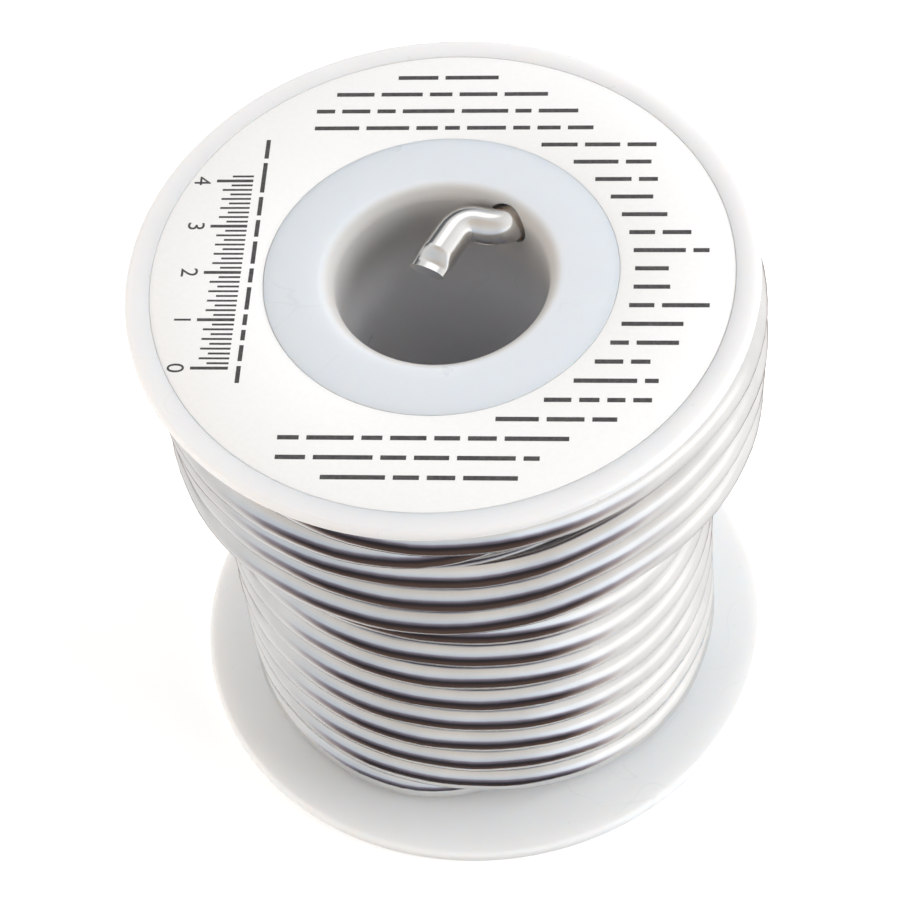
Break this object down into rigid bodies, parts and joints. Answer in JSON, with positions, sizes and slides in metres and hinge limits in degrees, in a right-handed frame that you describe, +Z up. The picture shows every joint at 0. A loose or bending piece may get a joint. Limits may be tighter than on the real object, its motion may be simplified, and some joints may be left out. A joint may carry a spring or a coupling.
{
  "type": "solder wire spool",
  "caption": "White plastic spool with a flat round flange at each end and an open bore, wound in layers with thick bare solder wire for joining metal; its start end bends into the bore.",
  "frame": {"origin": "centre of the lower flange's resting face, on the spool's axis", "axes": "+Z up along the spool's axis, -Y the side where the turns step from slot to slot, +X to the right of it"},
  "size_m": [0.053, 0.0524, 0.0517],
  "materials": {
    "white_plastic": "smooth moulded white polystyrene, slightly translucent and bluish",
    "label_paper": "coated white paper, semi-matt, printed in black",
    "solder": "bright drawn tin-lead solder wire, mirror-like with soft drawing lines"
  },
  "bodies": {
    "root": {"upper_spool_half": "white_plastic", "lower_spool_half": "white_plastic", "upper_label": "label_paper", "lower_label": "label_paper", "solder_layer_1": "solder", "solder_layer_2": "solder", "solder_layer_3": "solder", "solder_outer_winding": "solder", "solder_piled_turns": "solder", "solder_start_tail": "solder"}
  },
  "joints": []
}
